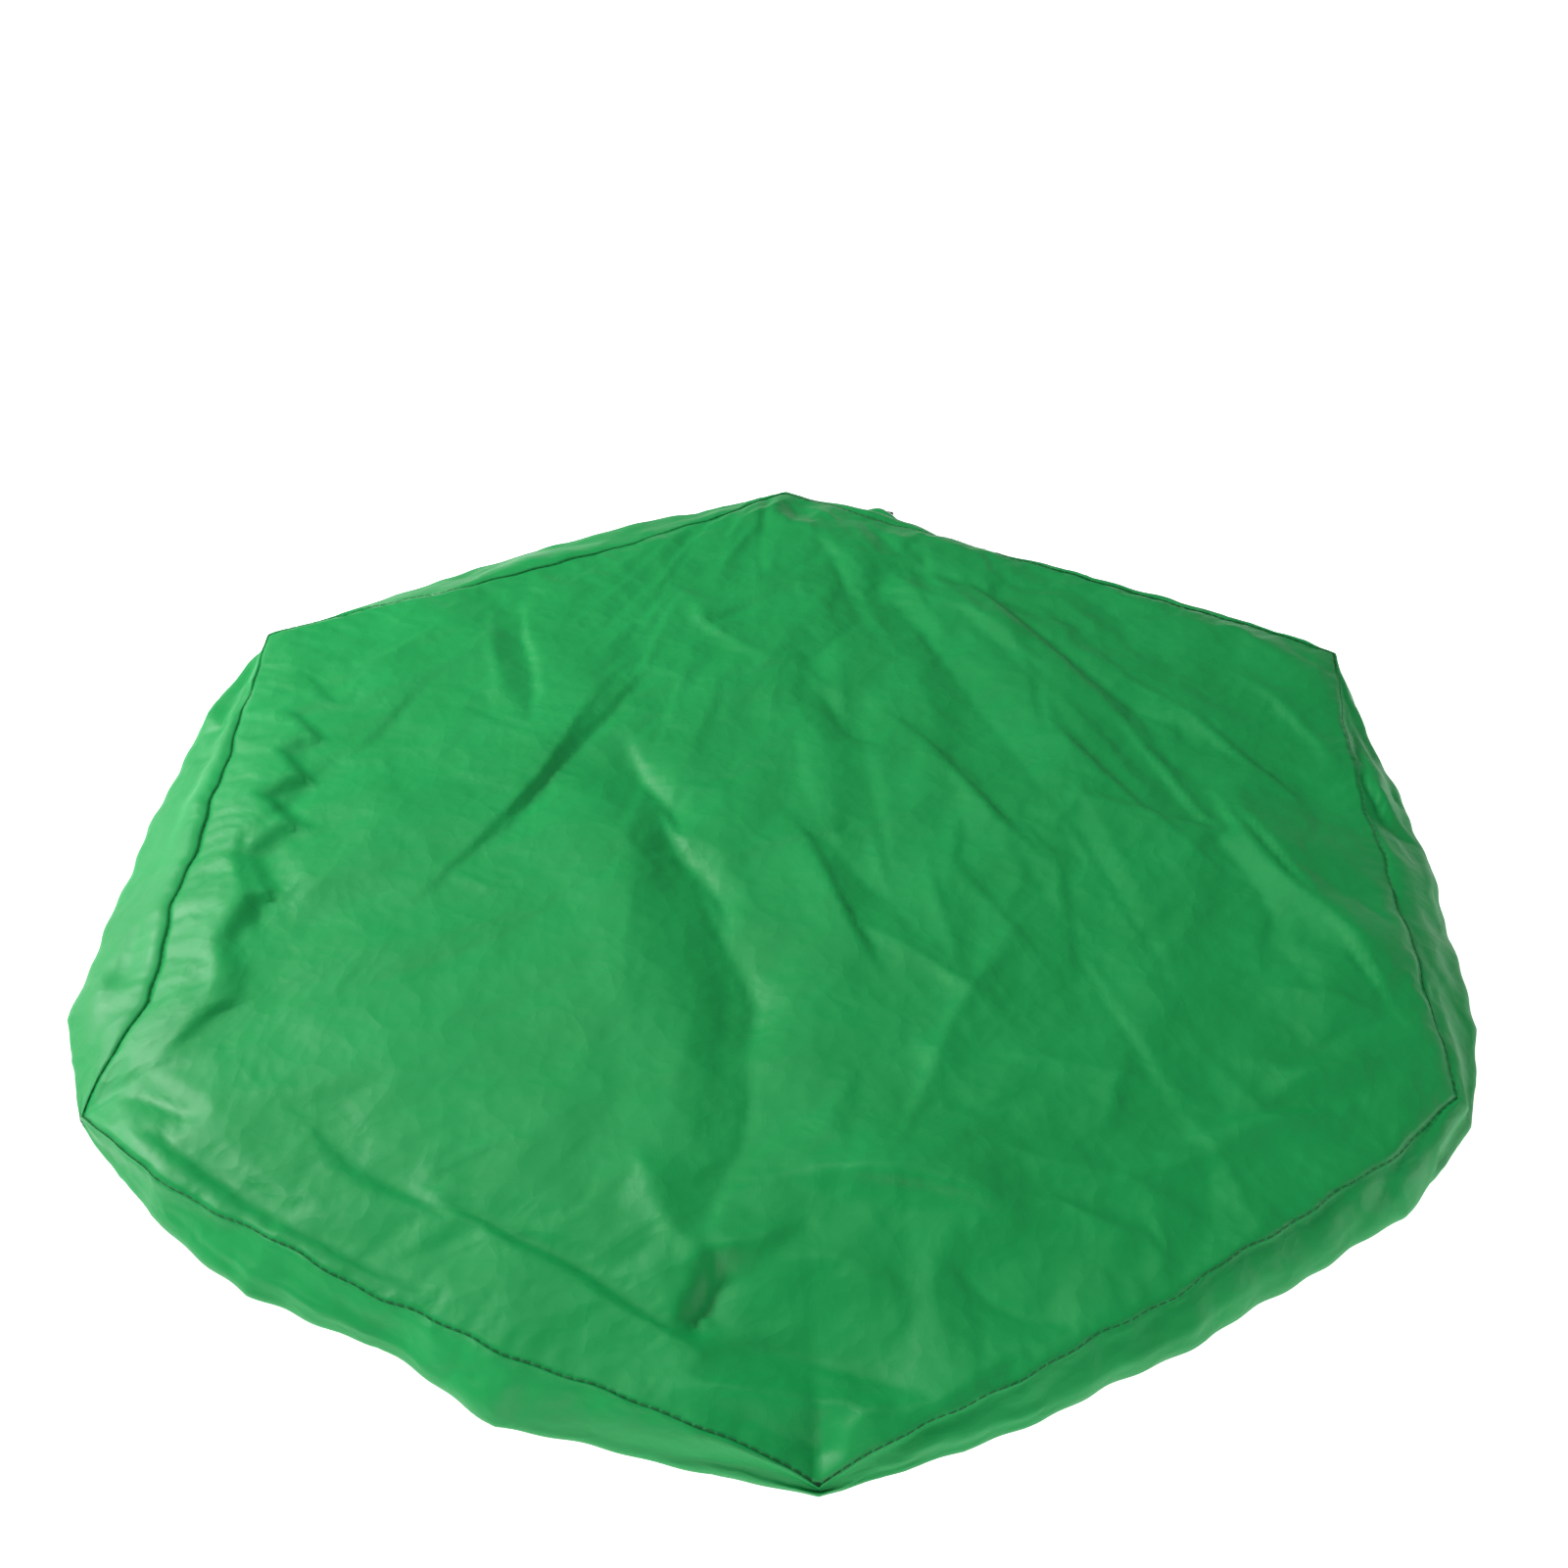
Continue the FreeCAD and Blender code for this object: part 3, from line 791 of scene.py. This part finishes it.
skirt_sheet = lay_net(net, (strip_length, strip_depth))
bmesh.ops.reverse_faces(skirt_sheet, faces=skirt_sheet.faces[:])
skirt_sheet.normal_update()
upper_faces = [f for f in skirt_sheet.faces if f.calc_center_median().z > 0.04]
facing = sum(f.normal.z * f.calc_area() for f in upper_faces)
if facing < 0:
    bmesh.ops.reverse_faces(skirt_sheet, faces=skirt_sheet.faces[:])
skirt = to_piece("skirt_cloth", skirt_sheet)
print("skirt faces", len(skirt.data.polygons))

# %% [markdown]
# ## Hem tunnel
# The strip's lower edge is folded over and stitched, which leaves a tunnel for the cord.
# It has the cord inside it and the gathers all round it, so it is a tube of uneven
# radius, open at the two mouths. A curve bevel could make a plain tube, but a net of
# points lets each pleat stand up.

# %% Make the tunnel
tunnel_columns = 1500
tunnel_rows = 14
tunnel_radius = 0.0068
tunnel_pleat = 0.0011
tunnel_wide = 1.15
tunnel_tall = 0.85
tunnel_middle = cord_width / 2 + 0.0045
mouth_start = math.atan2(short_route[0][1], short_route[0][0])
mouth_end = math.atan2(long_route[0][1], long_route[0][0]) + 2 * math.pi
tunnel_turn = np.linspace(mouth_start, mouth_end, tunnel_columns + 1)
tunnel_round = np.linspace(0, 2 * math.pi, tunnel_rows + 1)
pleat = gathers(tunnel_turn) * gather_strength(tunnel_turn)
girth = tunnel_radius + tunnel_pleat * pleat[None, :] * (1 + 0.6 * np.sin(tunnel_round))[:, None]
tunnel_out = hem_middle + girth * np.cos(tunnel_round)[:, None] * tunnel_wide
tunnel_up = tunnel_middle + girth * np.sin(tunnel_round)[:, None] * tunnel_tall
tunnel_net = np.stack([
    tunnel_out * np.cos(tunnel_turn)[None, :],
    tunnel_out * np.sin(tunnel_turn)[None, :],
    np.maximum(tunnel_up, ground_gap),
], 2)
tunnel_sheet = lay_net(tunnel_net, (hem_middle * 2 * math.pi, 0.04))
bmesh.ops.recalc_face_normals(tunnel_sheet, faces=tunnel_sheet.faces[:])
tunnel = to_piece("hem_tunnel_cloth", tunnel_sheet)
print("tunnel faces", len(tunnel.data.polygons))

# %% [markdown]
# ## Thickness
# Cloth has two faces: green coating outside, silver inside. Solidify gives the sheets a
# real thickness inwards and puts the second material on the inner face.

# %% Give the cloth its thickness
cloth_thickness = 0.0006


def thicken(piece):
    """Solidify inwards, with the second material on the inner face and the first on the rim."""
    wall = piece.modifiers.new("thickness", "SOLIDIFY")
    wall.thickness = cloth_thickness
    wall.offset = -1
    wall.material_offset = 1
    wall.material_offset_rim = 0


sheets = (top_panel, skirt, tunnel)
for sheet in sheets:
    thicken(sheet)
print(len(sheets), "sheets made", cloth_thickness * 1000, "mm thick")

# %% [markdown]
# ## Sewing
# A lockstitch shows as a row of short thread loops, each pulled into the cloth at both
# ends. One long tube would look like piping, so every stitch is its own small capsule: a
# low sphere stretched along the seam. There are hundreds, so each has few faces.

# %% Sew
thread_width = 0.0007
seam_pitch = 0.0045
hem_pitch = 0.0048
stitch_lift = 0.0010


def even_steps(places, pitch):
    """Middles and directions of stitches, one every pitch along a line of points."""
    places = np.asarray(places, float)
    runs = np.diff(places, axis=0)
    travelled = np.concatenate([[0], np.cumsum(np.linalg.norm(runs, axis=1))])
    stops = np.arange(pitch / 2, travelled[-1], pitch)
    middles = np.column_stack([np.interp(stops, travelled, places[:, k]) for k in range(3)])
    later = stops + pitch / 4
    ahead = np.column_stack([np.interp(later, travelled, places[:, k]) for k in range(3)])
    return middles, ahead - middles


def sew(name, places, pitch, node, share=0.62):
    """A row of stitches along a line: one stitch, doubled until there are enough."""
    middles, ahead = even_steps(places, pitch)
    count = len(middles)
    row = bmesh.new()
    size = Matrix.Diagonal((pitch * share / 2, thread_width / 2, thread_width / 2, 1))
    bmesh.ops.create_uvsphere(row, u_segments=6, v_segments=4, radius=1.0,
                              matrix=size @ Matrix.Rotation(math.pi / 2, 4, "Y"))
    each = len(row.verts)
    while len(row.verts) < count * each:
        bmesh.ops.duplicate(row, geom=row.verts[:] + row.edges[:] + row.faces[:])
    row.verts.ensure_lookup_table()
    bmesh.ops.delete(row, geom=row.verts[count * each:], context="VERTS")
    row.verts.ensure_lookup_table()
    for index in range(count):
        turn = Vector(ahead[index]).to_track_quat("X", "Z").to_matrix()
        for vert in row.verts[index * each:(index + 1) * each]:
            vert.co = turn @ vert.co + Vector(middles[index])
    piece = to_piece(name, row)
    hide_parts(node)
    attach(piece, "cover")
    print(name, count, "stitches")
    return piece


seam_t = np.linspace(0, sides, 1441)[:-1]
seam_line = np.column_stack([seam_plan(seam_t), seam_height(seam_t) + stitch_lift])
seam_line = np.vstack([seam_line, seam_line[:1]])
seam_stitches = sew("top_seam_stitches", seam_line, seam_pitch, "top_seam_thread")

hem_row = int(skirt_rows * 0.97)
above_cloth = np.array([0, 0, 0.0002])
hem_points = [net[hem_row, c] - above_cloth for c in range(0, skirt_columns + 1, 2)]
hem_stitches = sew("hem_stitches", hem_points, hem_pitch, "hem_thread")

join_points = [net[r, 3] + above_cloth for r in range(3, hem_row)]
join_points_back = [net[r, -4] + above_cloth for r in range(hem_row - 1, 2, -1)]
join_stitches = sew("join_stitches", join_points + join_points_back, seam_pitch, "join_thread")

# %% [markdown]
# Bar-tacks are short rows of close zigzag stitches that keep the tunnel's mouths from
# tearing. Each is a few capsules side by side across the tunnel.

# %% Bar-tacks
tack_steps = 14
tack_length = 0.010
tack_half_width = 0.001
tack_height = 0.0136
tack_inset = 0.009      # radians in from the tunnel's mouth
tack_pitch = 0.0021


def bar_tack(turn):
    """Zigzag points across the tunnel's top at one mouth."""
    points = []
    for step in range(tack_steps + 1):
        out = hem_middle - tack_length / 2 + tack_length * step / tack_steps
        side = tack_half_width if step % 2 else -tack_half_width
        around = turn + side / hem_middle
        points.append((out * math.cos(around), out * math.sin(around), tack_height))
    return points


first_tack = bar_tack(mouth_start + tack_inset)
second_tack = bar_tack(mouth_end - tack_inset)
tacks = sew("mouth_bar_tacks", first_tack, tack_pitch, "casing_bartacks", 0.95)
other_tack = sew("mouth_bar_tack_long", second_tack, tack_pitch, "casing_bartacks", 0.95)

# %% [markdown]
# ## The drawstring in its tunnel
# Once round inside the hem the cord is held all the way, so its line is simply the
# tunnel's middle line: a circle spun from one small ring of points.

# %% Run the drawstring
drawstring_height = 0.007
ring = bmesh.new()
bmesh.ops.create_circle(ring, segments=12, radius=cord_width / 2)
to_hem = Matrix.Translation((hem_middle, 0, drawstring_height))
start_side = Matrix.Rotation(mouth_start, 4, "Z") @ to_hem
stand = start_side @ Matrix.Rotation(math.pi / 2, 4, "X")
bmesh.ops.transform(ring, verts=ring.verts[:], matrix=stand)
bmesh.ops.spin(ring, geom=ring.edges[:], cent=(0, 0, 0), axis=(0, 0, 1),
               angle=mouth_end - mouth_start, steps=360)
bmesh.ops.recalc_face_normals(ring, faces=ring.faces[:])
drawstring = to_piece("drawstring_in_hem", ring)
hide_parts("drawstring")
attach(drawstring, "cover")
print("drawstring in the hem:", round(hem_middle * (mouth_end - mouth_start), 3), "m")

# %% [markdown]
# ## Finishes
# Every finish is built from nodes. Patterns that follow the cloth read its flat cut, a UV
# map in metres, so the weave keeps its scale however the sheet folds.

# %% Material helpers
def new_finish(name, color, roughness, metallic=0.0):
    """A material with its shader's plain values set on the shader itself."""
    finish = bpy.data.materials.new(name)
    finish.use_nodes = True
    shader = finish.node_tree.nodes["Principled BSDF"]
    shader.inputs["Base Color"].default_value = (*color, 1)
    shader.inputs["Roughness"].default_value = roughness
    shader.inputs["Metallic"].default_value = metallic
    return finish, finish.node_tree, shader


def flat_cut_place(tree):
    """Places on the cloth's flat cut, in metres."""
    cut = tree.nodes.new("ShaderNodeUVMap")
    cut.uv_map = "flat_cut"
    return cut.outputs["UV"]


def object_place(tree):
    return tree.nodes.new("ShaderNodeTexCoord").outputs["Object"]


def add_node(tree, kind, place=None, **inputs):
    """A node with some inputs set. An underscore in an input's name stands for a space."""
    node = tree.nodes.new(kind)
    for name, value in inputs.items():
        node.inputs[name.replace("_", " ")].default_value = value
    if place is not None:
        tree.links.new(place, node.inputs["Vector"])
    return node


def add_noise(tree, place, scale):
    return add_node(tree, "ShaderNodeTexNoise", place, Scale=scale, Detail=4.0).outputs["Fac"]


def vary_roughness(tree, shader, value, low, high):
    ramp = add_node(tree, "ShaderNodeMapRange", From_Min=0.3, From_Max=0.7, To_Min=low, To_Max=high)
    tree.links.new(value, ramp.inputs["Value"])
    tree.links.new(ramp.outputs["Result"], shader.inputs["Roughness"])


def add_bump(tree, height, distance, strength=1.0, under=None):
    bump = add_node(tree, "ShaderNodeBump", Distance=distance, Strength=strength)
    tree.links.new(height, bump.inputs["Height"])
    if under is not None:
        tree.links.new(under, bump.inputs["Normal"])
    return bump.outputs["Normal"]


def add_two_tones(tree, shader, value, first, second):
    ramp = tree.nodes.new("ShaderNodeValToRGB")
    ramp.color_ramp.elements[0].position = 0.35
    ramp.color_ramp.elements[1].position = 0.65
    ramp.color_ramp.elements[0].color = (*first, 1)
    ramp.color_ramp.elements[1].color = (*second, 1)
    tree.links.new(value, ramp.inputs["Fac"])
    tree.links.new(ramp.outputs["Color"], shader.inputs["Base Color"])


def add_weave(tree, place, pitch):
    """Two crossed sets of ribs, as warp and weft."""
    bands = []
    for way in ("X", "Y"):
        ribs = add_node(tree, "ShaderNodeTexWave", place, Scale=math.pi / 10 / pitch)
        ribs.bands_direction = way
        bands.append(ribs.outputs["Fac"])
    cross = tree.nodes.new("ShaderNodeMath")
    cross.operation = "MULTIPLY"
    tree.links.new(bands[0], cross.inputs[0])
    tree.links.new(bands[1], cross.inputs[1])
    return cross.outputs[0]


def add_crumple(tree, place, scale):
    """Small flat facets with sharp creases between them, bent by a little noise."""
    bend = add_node(tree, "ShaderNodeTexNoise", place, Scale=scale * 0.4)
    shift = tree.nodes.new("ShaderNodeVectorMath")
    shift.operation = "MULTIPLY_ADD"
    shift.inputs[1].default_value = (1.6 / scale, 1.6 / scale, 0)
    tree.links.new(bend.outputs["Color"], shift.inputs[0])
    tree.links.new(place, shift.inputs[2])
    cells = add_node(tree, "ShaderNodeTexVoronoi", shift.outputs[0], Scale=scale)
    return cells.outputs["Distance"]


# %% Green coating and silver inside
weave_pitch = 0.0009


def coated_cloth():
    finish, tree, shader = new_finish("green_coated_oxford", (0.001, 0.262, 0.056), 0.40)
    cut = flat_cut_place(tree)
    add_two_tones(tree, shader, add_noise(tree, cut, 9.0), (0.001, 0.248, 0.052), (0.002, 0.276, 0.061))
    vary_roughness(tree, shader, add_noise(tree, cut, 14.0), 0.46, 0.56)
    crumpled = add_bump(tree, add_crumple(tree, cut, 24.0), 0.0022, 0.8)
    crinkle = add_bump(tree, add_crumple(tree, cut, 70.0), 0.0007, 0.8, crumpled)
    woven = add_bump(tree, add_weave(tree, cut, weave_pitch), 0.00010, 0.5, crinkle)
    tree.links.new(woven, shader.inputs["Normal"])
    shader.inputs["Coat Weight"].default_value = 0.03
    shader.inputs["Coat Roughness"].default_value = 0.35
    shader.inputs["Specular IOR Level"].default_value = 0.28
    return finish


def silver_lining():
    finish, tree, shader = new_finish("silver_coating", (0.56, 0.57, 0.59), 0.36, 0.7)
    cut = flat_cut_place(tree)
    add_two_tones(tree, shader, add_noise(tree, cut, 6.0), (0.52, 0.53, 0.55), (0.60, 0.61, 0.63))
    vary_roughness(tree, shader, add_noise(tree, cut, 20.0), 0.30, 0.42)
    crinkle = add_bump(tree, add_crumple(tree, cut, 60.0), 0.0010, 0.35)
    woven = add_bump(tree, add_weave(tree, cut, weave_pitch), 0.00010, 0.6, crinkle)
    tree.links.new(woven, shader.inputs["Normal"])
    return finish


green = coated_cloth()
silver = silver_lining()
for sheet in sheets:
    sheet.data.materials.append(green)
    sheet.data.materials.append(silver)
    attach(sheet, "cover")
print("cloth finishes:", green.name, "outside,", silver.name, "inside")

# %% Thread, cord, plastic and steel
def sewing_thread():
    finish, tree, shader = new_finish("sewing_thread", (0.004, 0.040, 0.014), 0.6)
    place = object_place(tree)
    add_two_tones(tree, shader, add_noise(tree, place, 900.0), (0.003, 0.026, 0.010), (0.008, 0.075, 0.026))
    tree.links.new(add_bump(tree, add_noise(tree, place, 2500.0), 0.0001), shader.inputs["Normal"])
    return finish


def braided_cord():
    finish, tree, shader = new_finish("braided_cord", (0.012, 0.013, 0.014), 0.6)
    place = object_place(tree)
    add_two_tones(tree, shader, add_noise(tree, place, 700.0), (0.008, 0.009, 0.010), (0.026, 0.027, 0.029))
    braid = add_weave(tree, place, 0.0016)
    tree.links.new(add_bump(tree, braid, 0.0004, 0.8), shader.inputs["Normal"])
    shader.inputs["Sheen Weight"].default_value = 0.3
    return finish


def lock_plastic():
    finish, tree, shader = new_finish("lock_plastic", (0.014, 0.014, 0.015), 0.42)
    place = object_place(tree)
    add_two_tones(tree, shader, add_noise(tree, place, 120.0), (0.011, 0.011, 0.012), (0.019, 0.019, 0.020))
    vary_roughness(tree, shader, add_noise(tree, place, 260.0), 0.36, 0.50)
    tree.links.new(add_bump(tree, add_noise(tree, place, 1800.0), 0.0001, 0.5), shader.inputs["Normal"])
    return finish


def spring_steel():
    finish, tree, shader = new_finish("spring_steel", (0.45, 0.45, 0.46), 0.3, 1.0)
    place = object_place(tree)
    vary_roughness(tree, shader, add_noise(tree, place, 900.0), 0.24, 0.40)
    add_two_tones(tree, shader, add_noise(tree, place, 400.0), (0.38, 0.38, 0.39), (0.52, 0.52, 0.53))
    return finish


def paint(finish, *pieces):
    for piece in pieces:
        piece.data.materials.clear()
        piece.data.materials.append(finish)
    print(finish.name, "on", len(pieces), "pieces")


paint(sewing_thread(), seam_stitches, hem_stitches, join_stitches, tacks, other_tack)
paint(braided_cord(), long_end, short_end, long_knot, short_knot, drawstring)
paint(lock_plastic(), lock_pieces[0], lock_pieces[1])
paint(spring_steel(), lock_pieces[2])

# %% [markdown]
# ## What stands for what
# Each sheet of cloth takes the place of its plain solids in the design, which are hidden.
# The panel is a hexagon; the skirt is one long strip.

side_names = ("right", "back_right", "back_left", "left", "front_left", "front_right")
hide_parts("top_panel")
for part in (*side_names, "strip_end"):
    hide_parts("skirt_" + part, "flap_" + part)
for part in side_names:
    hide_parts("casing_" + part)
print("cloth declared:", top_panel.name, "and", skirt.name)

# %% [markdown]
# ## Ground and light
# The ground is plain and pale, and glows a little so that it stays even. A soft light
# stands low on the left, so that each crease has a light and a dark side. One overhead
# gives the coating its sheen, and two in front and on the right light the skirt's sides.

# %% Ground and lights
ground_half = 40
ground_glow = 0.9
sky_strength = 0.23

ground = bmesh.new()
bmesh.ops.create_grid(ground, x_segments=1, y_segments=1, size=ground_half)
ground = to_piece("ground", ground, smooth=False)
ground_finish, _, ground_shader = new_finish("pale_ground", (0.80, 0.80, 0.80), 0.9)
ground_shader.inputs["Emission Color"].default_value = (1, 1, 1, 1)
ground_shader.inputs["Emission Strength"].default_value = ground_glow
ground.data.materials.append(ground_finish)


def soft_light(name, place, size, power, target=(0, 0, 0)):
    """A round lamp that faces its target."""
    lamp = bpy.data.lights.new(name, "AREA")
    lamp.shape = "DISK"
    lamp.size = size
    lamp.energy = power
    holder = bpy.data.objects.new(name, lamp)
    bpy.context.scene.collection.objects.link(holder)
    holder.location = place
    holder.rotation_euler = (Vector(target) - Vector(place)).to_track_quat("-Z", "Y").to_euler()


soft_light("key_light", (-2.4, 0.7, 1.7), 0.7, 100)
soft_light("top_light", (-0.5, 1.4, 3.2), 1.4, 20)
soft_light("front_light", (-0.5, -3.2, 1.1), 1.6, 42)
soft_light("right_light", (3.2, -0.4, 0.8), 1.2, 24)
world = bpy.data.worlds.new("soft_sky")
bpy.context.scene.world = world
world.use_nodes = True
sky = world.node_tree.nodes["Background"]
sky.inputs["Color"].default_value = (1, 1, 1, 1)
sky.inputs["Strength"].default_value = sky_strength
bpy.context.scene.view_settings.view_transform = "Standard"
print("ground", 2 * ground_half, "m wide, sky at", sky_strength)

# %% Finish
bpy.context.view_layer.update()
